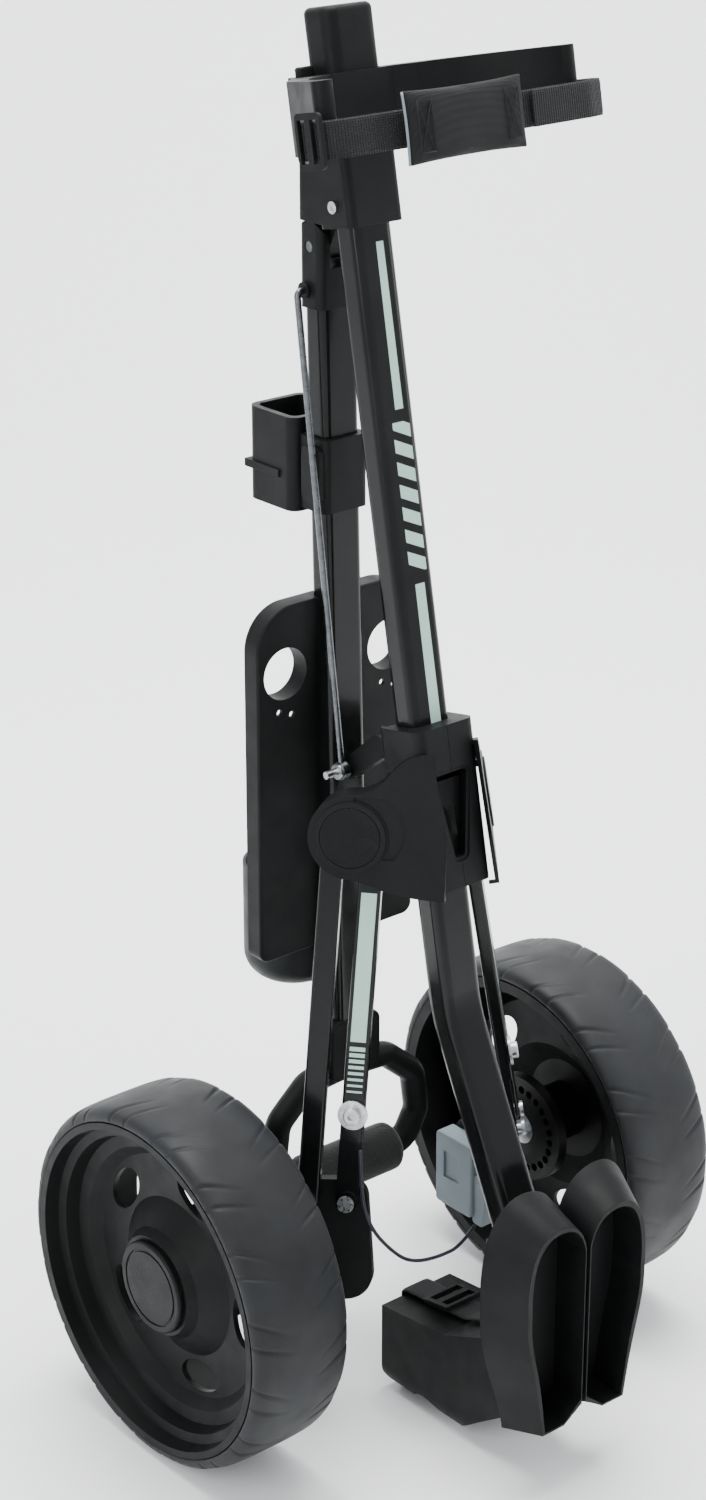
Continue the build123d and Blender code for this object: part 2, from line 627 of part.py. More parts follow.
def console_shell():
    """Flat panel behind the handle tube, with a rim to the rear and two ball holes."""
    z0, z1 = CONSOLE_BOTTOM, CONSOLE_TOP
    plane = front_plane(CONSOLE_Y)
    width, height = 2 * CONSOLE_HALF_W, z1 - z0
    outline = Pos(0, (z0 + z1) / 2) * Rectangle(width, height)
    corners = outline.vertices().group_by(Axis.Y)
    outline = fillet(corners[-1], 34)
    outline = fillet(outline.vertices().group_by(Axis.Y)[0], 9)
    body = extrude(plane * outline, -CONSOLE_DEPTH)
    body = fillet(body.faces().sort_by(Axis.Y)[0].edges(), 2.4)
    inner = offset(outline, -CONSOLE_WALL)
    body -= extrude(front_plane(CONSOLE_Y + CONSOLE_WALL) * inner, -60)
    for side in (-1, 1):
        x = side * BALL_HOLE_X
        ring = round_y(BALL_HOLE_RADIUS + 3, CONSOLE_Y, CONSOLE_Y + CONSOLE_DEPTH, x, BALL_HOLE_Z)
        body = body + (ring & extrude(plane * outline, -CONSOLE_DEPTH))
    channel = handle_bar(CONSOLE_BOTTOM - 1, CONSOLE_TOP + 1, 3.0)
    body = body + (channel & block(-90, 90, CONSOLE_Y, 90, z0, z1 - 6))
    body -= handle_bar(z0 - 20, z1 + 20)
    for side in (-1, 1):
        x = side * BALL_HOLE_X
        body -= round_y(BALL_HOLE_RADIUS, CONSOLE_Y - 1, CONSOLE_Y + 40, x, BALL_HOLE_Z)
        for dx in (-6, 6):
            body -= round_y(2.6, CONSOLE_Y - 1, CONSOLE_Y + 10, x + dx, BALL_HOLE_Z - 32 - dx / 3)
    return body


def round_y(radius, y0, y1, x, z):
    plane = Plane(origin=(x, y0, z), x_dir=(1, 0, 0), z_dir=(0, 1, 0))
    return extrude(plane * Circle(radius), y1 - y0)


def console_pocket():
    """Open cup behind the panel's lower part."""
    y = CONSOLE_Y + CONSOLE_DEPTH + POCKET_RADIUS
    z_top, z_low = 400.0, 302.0
    cup = Pos(0, y, (z_top + z_low) / 2) * Cylinder(POCKET_RADIUS, z_top - z_low)
    cup = fillet(cup.edges().group_by(Axis.Z)[0], 22)
    inside = Cylinder(POCKET_RADIUS - POCKET_WALL, z_top - z_low)
    inside = Pos(0, y, (z_top + z_low) / 2 + POCKET_WALL) * inside
    inside = fillet(inside.edges().group_by(Axis.Z)[0], 20)
    back = block(-34, 34, CONSOLE_Y + CONSOLE_DEPTH, y - 12, 352, 396)
    body = (cup + back) - inside
    body -= handle_bar(280, 420, 3.4)
    return body - block(-100, 100, 0, CONSOLE_Y + CONSOLE_DEPTH, 0, CONSOLE_BOTTOM - 0.01)


def score_clip():
    """Spring clip that holds a score card on the panel."""
    body = block(-30, 30, CONSOLE_Y + CONSOLE_DEPTH + 0.2, CONSOLE_Y + CONSOLE_DEPTH + 2.2, 520, 548)
    return fillet(body.edges().filter_by(Axis.Y), 5)


def accessory_clamp():
    """Saddle round the handle tube, with a socket to the rear that is open at the top and bottom."""
    y = handle_centre_y(740)
    half_w, half_d = HANDLE_W / 2 + 4, HANDLE_D / 2 + 4
    saddle = block(-half_w, half_w, y - half_d, y + half_d + 2, SOCKET_Z0 + 4, SOCKET_Z1 - 12)
    saddle = fillet(saddle.edges().filter_by(Axis.Z), 6)
    cup = block(-27, 27, y + HANDLE_D / 2 + 4, 122, SOCKET_Z0, SOCKET_Z1)
    cup = fillet(cup.edges().filter_by(Axis.Z), 9)
    inside = block(-22, 22, y + HANDLE_D / 2 + 9, 117, SOCKET_Z0 - 1, SOCKET_Z1 + 1)
    inside = fillet(inside.edges().filter_by(Axis.Z), 6)
    rib_low = block(-28.5, 28.5, y + HANDLE_D / 2 + 20, 123.5, 728, 734)
    body = saddle + cup + rib_low - inside
    return body - handle_bar(SOCKET_Z0 - 20, SOCKET_Z1 + 20)


def clamp_knob():
    """Latch lever on the saddle's left face."""
    y = handle_centre_y(740)
    x = -HANDLE_W / 2 - 4
    body = block(x - 4, x, y - 13, y + 8, 716, 758)
    return fillet(body.edges().filter_by(Axis.X), 5)


def junction():
    """Block that joins the handle tube to the loop."""
    body = block(-25, 25, 26, 53, 238, 291)
    body = fillet(body.edges().filter_by(Axis.Y), 9)
    body = fillet(body.faces().sort_by(Axis.Y)[0].edges(), 2)
    body -= handle_bar(HANDLE_FOOT_Z, 300)
    return body - grip_loop()


def grip_loop():
    """Closed D of round bar: narrow shoulders and a straight bar at the foot."""
    r = 10.5
    right = [Vector(0, GRIP_Y, 243), Vector(40, GRIP_Y, 240), Vector(70, GRIP_Y, 214)]
    right += [Vector(75, GRIP_Y, 178), Vector(61, GRIP_Y, GRIP_BAR_Z)]
    left = [Vector(-p.X, p.Y, p.Z) for p in reversed(right[1:])]
    points = right + left
    path = FilletPolyline(*points, radius=18, close=True)
    start = Plane(origin=path @ 0, z_dir=path % 0)
    return sweep(start * Circle(r), path=path)


def foam_grip():
    half = 48.0
    body = cylinder_x(20.5, -half, half, GRIP_Y, GRIP_BAR_Z)
    body = fillet(body.edges().filter_by(GeomType.CIRCLE), 7)
    return body - cylinder_x(10.5, -half - 1, half + 1, GRIP_Y, GRIP_BAR_Z)


# ---- folding rod and slider
def control_rod():
    """Thin rod, bent inward at its top into the knuckle and flattened at its foot."""
    top = Vector(ROD_X, HINGE_Y + HOOK_BACK, HINGE_Z - HOOK_DROP)
    foot = Vector(ROD_X, ROD_FOOT_Y, ROD_FOOT_Z)
    foot = foot + (top - foot).normalized() * 5.5
    path = FilletPolyline(top + Vector(8, 0, 0), top, foot, radius=4)
    start = Plane(origin=path @ 0, z_dir=path % 0)
    rod = sweep(start * Circle(ROD_RADIUS), path=path)
    eye = cylinder_x(7, ROD_X - 3, ROD_X + 3, ROD_FOOT_Y, ROD_FOOT_Z)
    return rod + eye - cylinder_x(3, ROD_X - 4, ROD_X + 4, ROD_FOOT_Y, ROD_FOOT_Z)


def fold_slider():
    """Crosshead that the rod pulls up the rear face of the main tube."""
    rear = main_centre_y(ROD_FOOT_Z) + MAIN_D / 2 / cos(radians(MAIN_LEAN))
    shoe = sleeve(14, -MAIN_D / 2 - SLIDE_GAP - 0.4, 32, 2, 528, 560)
    arm_outline = hull_of((rear + 22, ROD_FOOT_Z + 28, 9), (ROD_FOOT_Y, ROD_FOOT_Z, 8))
    arm = extrude(side_plane(-22) * arm_outline, 10)
    boss = cylinder_x(6, ROD_X + 3 + SLIDE_GAP, -21, ROD_FOOT_Y, ROD_FOOT_Z)
    return shoe + arm + boss


def rod_bolt():
    """Bright bolt through the rod's eye."""
    bolt = cylinder_x(3, ROD_X - 16, ROD_X + 3, ROD_FOOT_Y, ROD_FOOT_Z)
    head = cylinder_x(6, ROD_X - 3, ROD_X - 5.5, ROD_FOOT_Y, ROD_FOOT_Z)
    return bolt + head


# ---- upper bag bracket
UPPER = Plane(origin=(0, main_centre_y(FRAME_TOP_Z), FRAME_TOP_Z), x_dir=(1, 0, 0), z_dir=lean_dir(MAIN_LEAN))


def cradle_arm(side, inset):
    """One arm in plan: thick at the tube, bending forward to its tip."""
    root = (side * 18, 10, 17 - inset)
    elbow = (side * 0.76 * (BAG_RADIUS + 7), BAG_CENTRE_Y + 0.65 * (BAG_RADIUS + 7), 8 - inset)
    tip = (side * (ARM_TIP_X + 3), ARM_TIP_Y + 10, 7.5 - inset)
    return hull_of(root, elbow) + hull_of(elbow, tip)


def cradle_outline(inset=0.0):
    """Boomerang in plan, with a round hollow for the bag in front."""
    outline = cradle_arm(1, inset) + cradle_arm(-1, inset)
    outline += Pos(0, 4) * Rectangle(60, 46 - 2 * inset)
    return outline - Pos(0, BAG_CENTRE_Y) * Circle(BAG_RADIUS + inset)


def upper_bag_bracket():
    """Hollow moulded cradle on the main tube's top, open underneath."""
    body = extrude(UPPER * cradle_outline(), -ARM_HEIGHT)
    body -= extrude(UPPER * Pos(0, 0, -4) * cradle_outline(4.0), -ARM_HEIGHT)
    collar = extrude(UPPER * Pos(0, 0, -4) * RectangleRounded(MAIN_W + 8, MAIN_D + 8, 9), -ARM_HEIGHT + 4)
    body = body + collar
    body -= extrude(UPPER * Pos(0, 0, 1) * RectangleRounded(MAIN_W, MAIN_D, 7), -ARM_HEIGHT - 10)
    for dx, dy in ((26, -4), (40, -14), (52, -2)):
        hole = extrude(UPPER * Pos(dx, dy, 1) * Circle(3.2), -7)
        body -= hole
    return body


def tube_cap():
    cap = extrude(UPPER * RectangleRounded(MAIN_W + 9, MAIN_D + 8, 10), CAP_HEIGHT)
    cap = fillet(cap.faces().sort_by(Axis.Z)[-1].edges(), 5)
    hollow = extrude(UPPER * RectangleRounded(MAIN_W + 3, MAIN_D + 2, 8), CAP_HEIGHT - 4)
    return cap - hollow


def release_tab():
    body = extrude(UPPER * Pos(-31, 6) * RectangleRounded(14, 8, 3), 7)
    return fillet(body.faces().sort_by(Axis.Z)[-1].edges(), 2)


def band(points, width, thick, plane, middle):
    """Webbing that stands on edge and follows a line in a plan plane."""
    line = Polyline(*points)
    strip = trace(line, line_width=thick)
    return extrude(plane * Pos(0, 0, middle - width / 2) * strip, width)


def upper_strap():
    """Bag strap across the mouth of the cradle, fixed to both arm tips."""
    x = ARM_TIP_X + 16
    points = [(-x, ARM_TIP_Y + 26), (-x, ARM_TIP_Y - 2), (-x + 14, STRAP_FRONT), (-20, STRAP_FRONT - 4)]
    points += [(x - 14, STRAP_FRONT), (x, ARM_TIP_Y - 2), (x, ARM_TIP_Y + 26)]
    strap = band(points, WEBBING_WIDTH, WEBBING_THICK, UPPER, STRAP_DROP)
    return strap - extrude(UPPER * Pos(0, 0, 5) * cradle_outline(-0.4), -ARM_HEIGHT - 10)


def strap_pad():
    """Folded fabric pad round the middle of the strap, as a plain closed block."""
    at = UPPER * Pos(-14, STRAP_FRONT - 4 - PAD_THICK / 2 - WEBBING_THICK, STRAP_DROP)
    pad = at * Box(2 * PAD_HALF_W, PAD_THICK, PAD_HEIGHT)
    return fillet(pad.edges(), 3)


def strap_buckle():
    """Flat frame with a bar, on the strap's left end."""
    x = ARM_TIP_X + 16 + WEBBING_THICK / 2 + 0.3
    at = UPPER * Pos(-x - 1.5, ARM_TIP_Y + 8, STRAP_DROP)
    frame = at * Box(3.0, 26, WEBBING_WIDTH + 12)
    frame = fillet(frame.edges().filter_by(Axis.X), 4)
    for dy in (-6.5, 6.5):
        frame -= at * Pos(0, dy, 0) * Box(5, 7.5, WEBBING_WIDTH + 3)
    return frame


# ---- lower bag bracket


def petal_outline(grow=0.0):
    """Front outline of the right-hand petal, in x and z."""
    g = grow
    inner = Line((2 - g * 0.2, 70 - g), (2 - g * 0.2, 205 + g * 0.4))
    top = Spline((2 - g * 0.2, 205 + g * 0.4), (28, 232 + g), (60 + g, 165), tangents=((0.2, 1), (-0.05, -1)))
    toe_out = (42 + g * 0.6, 58 - g * 0.4)
    side = Spline((60 + g, 165), (52 + g, 112), toe_out, tangents=((0.05, -1), (-0.15, -1)))
    toe = Line(toe_out, (20, 58 - g * 0.4))
    back_up = Line((20, 58 - g * 0.4), (2 - g * 0.2, 70 - g))
    return make_face([inner, top, side, toe, back_up])


def lower_bag_bracket():
    """Moulded shoe on the tube's foot: a socket and two hollow petals that the bag leans on."""
    skirt = loft([front_plane(PETAL_BACK) * petal_outline(16.0), front_plane(PETAL_FRONT) * petal_outline()])
    scoop = extrude(front_plane(PETAL_BACK - 4) * petal_outline(-4.0), 60)
    right = skirt - scoop
    body = right + mirror(right, about=Plane.YZ)
    foot = Plane(origin=MAIN_FOOT, x_dir=(1, 0, 0), z_dir=lean_dir(FOOT_LEAN))
    socket = extrude(foot * Pos(0, 0, -10) * RectangleRounded(MAIN_W + 12, MAIN_D + 12, 9), 74)
    front_cut = block(-200, 200, -400, PETAL_BACK - 3.9, -50, 400)
    body = body + (socket - front_cut)
    return body - main_bar(0)


def bracket_heel():
    """Hollow heel under the bracket, whose rounded end stands on the ground."""
    pts = [(HEEL_REAR, 76), (HEEL_REAR, 14), (HEEL_REAR - 9, 0), (HEEL_REAR - 28, 0)]
    arch = ThreePointArc(pts[3], (-97, 15), (-117, 4))
    rest = [(-117, 4), (-136, 6), (-160, 24), (PETAL_BACK + 1, 56)]
    rest += [(PETAL_BACK + 1, 112), (-175, 108), (-120, 84)]
    outline = make_face([Polyline(*pts), arch, Polyline(*rest, pts[0])])
    body = extrude(side_plane(-HEEL_HALF_W) * outline, 2 * HEEL_HALF_W)
    rounder = extrude(front_plane(0) * heel_section(), 300)
    body = body & rounder
    body -= block(-HEEL_HALF_W + 4, HEEL_HALF_W - 4, -165, -82, -10, 70)
    foot = Plane(origin=MAIN_FOOT, x_dir=(1, 0, 0), z_dir=lean_dir(FOOT_LEAN))
    socket = extrude(foot * Pos(0, 0, -10.2) * RectangleRounded(MAIN_W + 12.4, MAIN_D + 12.4, 9), 100)
    return body - socket


def heel_section():
    """The heel seen from behind: flat top and a well rounded underside."""
    outline = Pos(0, 60) * Rectangle(2 * HEEL_HALF_W, 120)
    low = outline.vertices().group_by(Axis.Y)[0]
    return fillet(low, 22)


def lower_strap():
    """Webbing over the heel's top and down its rear end."""
    thick = WEBBING_THICK
    rear = HEEL_REAR + thick
    line = Polyline((-168, 108 + thick), (-120, 86 + thick), (rear, 77.5 + thick), (rear, 24))
    strip = trace(line, line_width=thick)
    return extrude(side_plane(-WEBBING_WIDTH / 2) * strip, WEBBING_WIDTH)


def lower_buckle():
    frame = Pos(0, -92, 90) * Rot(-10, 0, 0) * Box(WEBBING_WIDTH + 12, 28, 4)
    frame = fillet(frame.edges().group_by(SortBy.LENGTH)[0], 1.2)
    for dy in (-7, 7):
        frame -= Pos(0, -92, 90) * Rot(-10, 0, 0) * Pos(0, dy, 0) * Box(WEBBING_WIDTH + 3, 8, 8)
    return frame


# ---- brake cable
CABLE_ROUTE = [(-83, -77, 246), (-86, -81, 206), (-73, -79, 174), (-52, -74, 147), (-28, -67, 123),
               (0, -56, 106), (30, -45, 94), (58, -36, 87), (88, -20, 87)]


def cable_bends():
    """The radius of each bend: as large as its two runs allow."""
    points = [Vector(*p) for p in CABLE_ROUTE]
    radii = []
    for before, at, after in zip(points, points[1:], points[2:]):
        run_in, run_out = at - before, after - at
        half_turn = radians(run_in.get_angle(run_out)) / 2
        radii.append(0.45 * min(run_in.length, run_out.length) / tan(half_turn))
    return points, radii


def brake_cable():
    points, radii = cable_bends()
    print("cable bend radii", [round(r, 1) for r in radii])
    path = FilletPolyline(*points, radius=radii)
    start = Plane(origin=path @ 0, z_dir=path % 0)
    cable = sweep(start * Circle(CABLE_RADIUS), path=path)
    print("cable length", round(path.length, 1), "volume ratio",
          round(cable.volume / (3.14159265 * CABLE_RADIUS ** 2 * path.length), 4))
    return cable


if __name__ == "__main__":
    save_pair("tyre", tyre())
    save_pair("wheel_rim", rim())
    save_pair("wheel_bearings", wheel_bearings())
    save_pair("hub_cap", hub_cap())
    save_pair("axle", axle())
    save_pair("wheel_carrier", carrier())
    save_pair("carrier_pins", leg_pins_lower())
    save_pair("brake_housing", brake_housing())
    save_pair("brake_pin", brake_pin())
    save("brake_pedal", brake_pedal())
    save("pedal_pin", pedal_pin())
    save_pair("front_link", front_link())
    save_pair("rear_link", rear_link())
    save_pair("link_bolt", link_bolt())
    save("link_pins", both_sides(upper_pins()))
    save("pivot_block", pivot_block())
    save_pair("pivot_cover", pivot_cover())
    save("cover_badges", both_sides(cover_badge()))
    save("main_tube", main_bar() - main_bar(-TUBE_WALL))
    save("handle_tube", handle_tube())
    save("handle_knuckle", knuckle())
    save("hinge_pin", hinge_pin())
    save("upper_collar", upper_collar())
    save("collar_screws", collar_screws())
    save("console_shell", console_shell())
    save("console_pocket", console_pocket())
    save("score_clip", score_clip())
    save("accessory_clamp", accessory_clamp())
    save("clamp_latch", clamp_knob())
    save("grip_junction", junction())
    save("grip_loop", grip_loop())
    save("foam_grip", foam_grip())
    save("control_rod", control_rod())
    save("fold_slider", fold_slider())
    save("rod_bolt", rod_bolt())
    save("upper_bag_bracket", upper_bag_bracket())
    save("tube_end_cap", tube_cap())
    save("release_tab", release_tab())
    save("upper_strap", upper_strap())
    save("strap_pad", strap_pad())
    save("strap_buckle", strap_buckle())
    save("lower_bag_bracket", lower_bag_bracket())
    save("bracket_heel", bracket_heel())
    save("lower_strap", lower_strap())
    save("lower_buckle", lower_buckle())
    save("brake_cable", brake_cable())
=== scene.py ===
import json
from math import cos, exp, pi, radians, sin, sqrt, tan

import bmesh
import bpy
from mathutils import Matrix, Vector, noise


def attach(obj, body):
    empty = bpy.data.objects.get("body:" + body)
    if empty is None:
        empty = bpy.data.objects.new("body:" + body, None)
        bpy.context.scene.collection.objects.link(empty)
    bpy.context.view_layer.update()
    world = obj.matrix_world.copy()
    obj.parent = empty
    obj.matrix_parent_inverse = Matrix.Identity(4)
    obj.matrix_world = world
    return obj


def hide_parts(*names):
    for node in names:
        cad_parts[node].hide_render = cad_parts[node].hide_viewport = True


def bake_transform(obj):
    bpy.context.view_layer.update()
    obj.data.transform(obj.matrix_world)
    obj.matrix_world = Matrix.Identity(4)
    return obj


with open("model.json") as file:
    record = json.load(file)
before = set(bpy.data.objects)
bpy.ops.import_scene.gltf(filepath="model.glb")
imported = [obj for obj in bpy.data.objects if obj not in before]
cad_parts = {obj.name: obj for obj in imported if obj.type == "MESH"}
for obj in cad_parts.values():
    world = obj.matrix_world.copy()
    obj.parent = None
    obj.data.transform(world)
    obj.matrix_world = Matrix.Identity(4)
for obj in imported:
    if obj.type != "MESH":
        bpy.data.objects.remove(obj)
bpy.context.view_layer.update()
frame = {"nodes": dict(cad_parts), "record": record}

MM = 0.001
AXLE_Y = 47.5           # the frame's y of the wheel axles, mm
MAIN_LEAN = radians(10.8)
WHEEL_X = 190.8
AXLE_Z = 146.0
BEND_Y = -91.5
BEND_Z = 343.0
FRAME_TOP_Z = 1030.0
STRAP_DROP = -38.0      # from the middle of the upper bracket's plane down to the strap's middle
STRAP_WIDTH = 25.4
PAD_CENTRE_X = -14.0
PAD_CENTRE_Y = -137.9


def at(x, y, z):
    """A place given in mm from the ground below the axles, in the row frame."""
    return Vector((x, y + AXLE_Y, z)) * MM


def main_centre_y(z):
    return BEND_Y + (z - BEND_Z) * tan(MAIN_LEAN)


def on_top(x, y, z):
    """A place in the tilted plane of the upper bag bracket."""
    back = main_centre_y(FRAME_TOP_Z) + y * cos(MAIN_LEAN) + z * sin(MAIN_LEAN)
    rise = FRAME_TOP_Z - y * sin(MAIN_LEAN) + z * cos(MAIN_LEAN)
    return at(x, back, rise)


# ---- camera and light
def camera():
    data = bpy.data.cameras.new("camera")
    data.sensor_fit = "VERTICAL"
    data.sensor_height = 36.0
    data.lens = 73.0
    data.clip_end = 50
    eye = bpy.data.objects.new("camera", data)
    eye.location = (-1.3806, -1.5679, 1.4011)
    eye.rotation_euler = (radians(90 - 22.35), 0, radians(-39.99))
    bpy.context.scene.collection.objects.link(eye)
    bpy.context.scene.camera = eye


def area_light(name, place, target, size, power, size_y=None, tint=(1, 1, 1)):
    data = bpy.data.lights.new(name, "AREA")
    data.shape = "RECTANGLE"
    data.size = size
    data.size_y = size_y or size
    data.energy = power
    data.color = tint
    lamp = bpy.data.objects.new(name, data)
    lamp.location = place
    lamp.rotation_euler = (Vector(target) - Vector(place)).to_track_quat("-Z", "Y").to_euler()
    bpy.context.scene.collection.objects.link(lamp)


def studio():
    area_light("key_left", (-2.9, -0.7, 1.9), (0, 0, 0.45), 0.7, 46, 2.4)
    area_light("strip_right", (2.3, -1.3, 1.5), (0, 0, 0.5), 0.35, 20, 2.2)
    area_light("top_soft", (0.2, 0.3, 3.2), (0, 0, 0.3), 2.2, 120)
    area_light("backdrop_wash", (0.4, 0.7, 3.6), (2.6, 3.1, 0.6), 2.4, 150)
    world = bpy.data.worlds.new("studio")
    world.use_nodes = True
    world.node_tree.nodes["Background"].inputs["Color"].default_value = (0.93, 0.95, 0.97, 1)
    world.node_tree.nodes["Background"].inputs["Strength"].default_value = 1.2
    bpy.context.scene.world = world


camera()
studio()


# ---- materials
class Paint:
    """One Principled material, with short calls that add the nodes it needs."""

    def __init__(self, name, **constants):
        self.material = bpy.data.materials.new(name)
        self.material.use_nodes = True
        self.tree = self.material.node_tree
        self.shader = self.tree.nodes["Principled BSDF"]
        for key, value in constants.items():
            self.shader.inputs[key.replace("_", " ")].default_value = value
        self.place = self.node("ShaderNodeTexCoord").outputs["Object"]

    def node(self, kind, **settings):
        made = self.tree.nodes.new(kind)
        for key, value in settings.items():
            setattr(made, key, value)
        return made

    def feed(self, socket, value):
        if isinstance(value, bpy.types.NodeSocket):
            self.tree.links.new(value, socket)
        else:
            socket.default_value = value

    def noise(self, scale, detail=3.0, place=None, rough=0.5):
        made = self.node("ShaderNodeTexNoise")
        self.feed(made.inputs["Vector"], place or self.place)
        made.inputs["Scale"].default_value = scale
        made.inputs["Detail"].default_value = detail
        made.inputs["Roughness"].default_value = rough
        return made.outputs["Fac"]

    def cells(self, scale, place=None):
        made = self.node("ShaderNodeTexVoronoi")
        self.feed(made.inputs["Vector"], place or self.place)
        made.inputs["Scale"].default_value = scale
        return made.outputs["Distance"]

    def fit(self, value, low, high, from_low=0.0, from_high=1.0, smooth=False):
        made = self.node("ShaderNodeMapRange")
        if smooth:
            made.interpolation_type = "SMOOTHSTEP"
        self.feed(made.inputs["Value"], value)
        made.inputs["From Min"].default_value = from_low
        made.inputs["From Max"].default_value = from_high
        made.inputs["To Min"].default_value = low
        made.inputs["To Max"].default_value = high
        return made.outputs["Result"]

    def math(self, operation, a, b=0.0, c=0.0):
        made = self.node("ShaderNodeMath", operation=operation)
        for socket, value in zip(made.inputs, (a, b, c)):
            self.feed(socket, value)
        return made.outputs[0]

    def mix(self, factor, dark, light):
        made = self.node("ShaderNodeMix", data_type="RGBA")
        for socket, value in zip((made.inputs[0], made.inputs[6], made.inputs[7]), (factor, dark, light)):
            if isinstance(value, tuple):
                value = (*value, 1.0)
            self.feed(socket, value)
        return made.outputs[2]

    def dot(self, direction, place=None):
        made = self.node("ShaderNodeVectorMath", operation="DOT_PRODUCT")
        self.feed(made.inputs[0], place or self.place)
        made.inputs[1].default_value = direction
        return made.outputs["Value"]

    def scaled(self, sizes, place=None):
        made = self.node("ShaderNodeVectorMath", operation="MULTIPLY")
        self.feed(made.inputs[0], place or self.place)
        made.inputs[1].default_value = sizes
        return made.outputs["Vector"]

    def axis(self, name, place=None):
        made = self.node("ShaderNodeSeparateXYZ")
        self.feed(made.inputs[0], place or self.place)
        return made.outputs[name]

    def normal(self):
        return self.node("ShaderNodeTexCoord").outputs["Normal"]

    def soft_edges(self, radius):
        """The normal with corners rounded off, and a mask of the corners themselves."""
        made = self.node("ShaderNodeBevel", samples=4)
        made.inputs["Radius"].default_value = radius
        flat = self.node("ShaderNodeNewGeometry").outputs["Normal"]
        both = self.node("ShaderNodeVectorMath", operation="DOT_PRODUCT")
        self.feed(both.inputs[0], made.outputs["Normal"])
        self.feed(both.inputs[1], flat)
        mask = self.fit(both.outputs["Value"], 1.0, 0.0, 0.86, 0.99)
        return made.outputs["Normal"], mask

    def bump(self, height, distance, strength=1.0, normal=None):
        made = self.node("ShaderNodeBump")
        made.inputs["Strength"].default_value = strength
        made.inputs["Distance"].default_value = distance
        self.feed(made.inputs["Height"], height)
        if normal is not None:
            self.feed(made.inputs["Normal"], normal)
        return made.outputs["Normal"]

    def finish(self, colour, rough, normal=None):
        self.feed(self.shader.inputs["Base Color"], colour)
        self.feed(self.shader.inputs["Roughness"], rough)
        if normal is not None:
            self.feed(self.shader.inputs["Normal"], normal)
        return self.material


def band_mask(paint, value, low, high, soft=0.0002):
    """1 where value lies from low to high."""
    rise = paint.fit(value, 0.0, 1.0, low - soft, low + soft)
    fall = paint.fit(value, 1.0, 0.0, high - soft, high + soft)
    return paint.math("MULTIPLY", rise, fall)


def moulded(name, dark, light, rough=(0.42, 0.56), grain=0.00012, edge=0.0006, wear=0.2,
            worn=(0.03, 0.033, 0.035)):
    """Moulded plastic: a fine spark-eroded grain, faint flow marks and corners rubbed lighter."""
    paint = Paint(name, Specular_IOR_Level=0.14)
    flow = paint.noise(9.0, 4.0)
    fine = paint.noise(1700.0, 2.0)
    colour = paint.mix(paint.fit(flow, 0.0, 1.0, 0.35, 0.65), dark, light)
    soft, corner = paint.soft_edges(edge)
    rub = paint.math("MULTIPLY", corner, paint.fit(paint.noise(120.0, 3.0), 0.0, wear, 0.35, 0.7))
    colour = paint.mix(rub, colour, worn)
    scuff = paint.noise(55.0, 5.0)
    surface = paint.math("ADD", fine, paint.math("MULTIPLY", paint.cells(900.0), 0.5))
    gloss = paint.fit(scuff, rough[0], rough[1], 0.3, 0.7)
    return paint.finish(colour, gloss, paint.bump(surface, grain, 0.8, soft))


def coated_tube(name, stripe=None):
    """Gloss black coating with faint orange peel, and an optional printed stripe."""
    paint = Paint(name, Coat_Weight=0.08, Coat_Roughness=0.08, Specular_IOR_Level=0.2)
    soft = paint.soft_edges(0.0005)[0]
    cloud = paint.noise(14.0, 3.0)
    share = paint.fit(cloud, 0.0, 1.0, 0.3, 0.7)
    colour = paint.mix(share, (0.0028, 0.003, 0.0032), (0.005, 0.0054, 0.0056))
    rough = paint.fit(paint.noise(40.0, 6.0), 0.16, 0.27, 0.3, 0.75)
    if stripe:
        mask = stripe(paint)
        ink = paint.mix(paint.noise(60.0, 3.0), (0.34, 0.50, 0.44), (0.40, 0.57, 0.50))
        colour = paint.mix(mask, colour, ink)
    peel = paint.noise(420.0, 2.0)
    return paint.finish(colour, rough, paint.bump(peel, 0.00005, 0.5, soft))


def main_stripe(paint):
    """A long stripe down the tube's front face, broken by a stack of slanted blocks."""
    x, z = paint.axis("X"), paint.axis("Z")
    front = paint.fit(paint.dot((0, -cos(MAIN_LEAN), sin(MAIN_LEAN)), paint.normal()), 0.0, 1.0, 0.90, 0.94)
    half = paint.fit(z, 0.0049, 0.0033, 0.553, 0.913)
    off = paint.math("ABSOLUTE", paint.math("SUBTRACT", x, 0.003))
    line = paint.fit(paint.math("SUBTRACT", off, half), 1.0, 0.0, -0.0002, 0.0002)
    upper = band_mask(paint, z, 0.797, 0.915)
    lower = band_mask(paint, z, 0.553, 0.671)
    line = paint.math("MULTIPLY", line, paint.math("MAXIMUM", upper, lower))
    slant = paint.math("ADD", z, paint.math("MULTIPLY", x, 0.45))
    step = paint.math("FRACT", paint.math("MULTIPLY", slant, 62.0))
    slanted = paint.fit(step, 0.0, 1.0, 0.40, 0.42)
    blocks = paint.math("MULTIPLY", slanted, band_mask(paint, z, 0.680, 0.788))
    blocks = paint.math("MULTIPLY", blocks, paint.fit(off, 1.0, 0.0, 0.0078, 0.0082))
    return paint.math("MULTIPLY", front, paint.math("MAXIMUM", line, blocks))


LEG_BOLT = at(-80.4, -65.1, 270.8)
TURN, TILT = radians(50), radians(9)
LEG_OUT = Vector((-sin(TURN) * cos(TILT), -cos(TURN) * cos(TILT), sin(TILT)))
LEG_SWING = Vector((-cos(TURN), sin(TURN), 0))
LEG_DOWN = LEG_OUT.cross(LEG_SWING)


def mirrored(v, side):
    """side is -1 on the left, which the leg's vectors are given for, and 1 on the right."""
    return Vector((-side * v[0], v[1], v[2]))


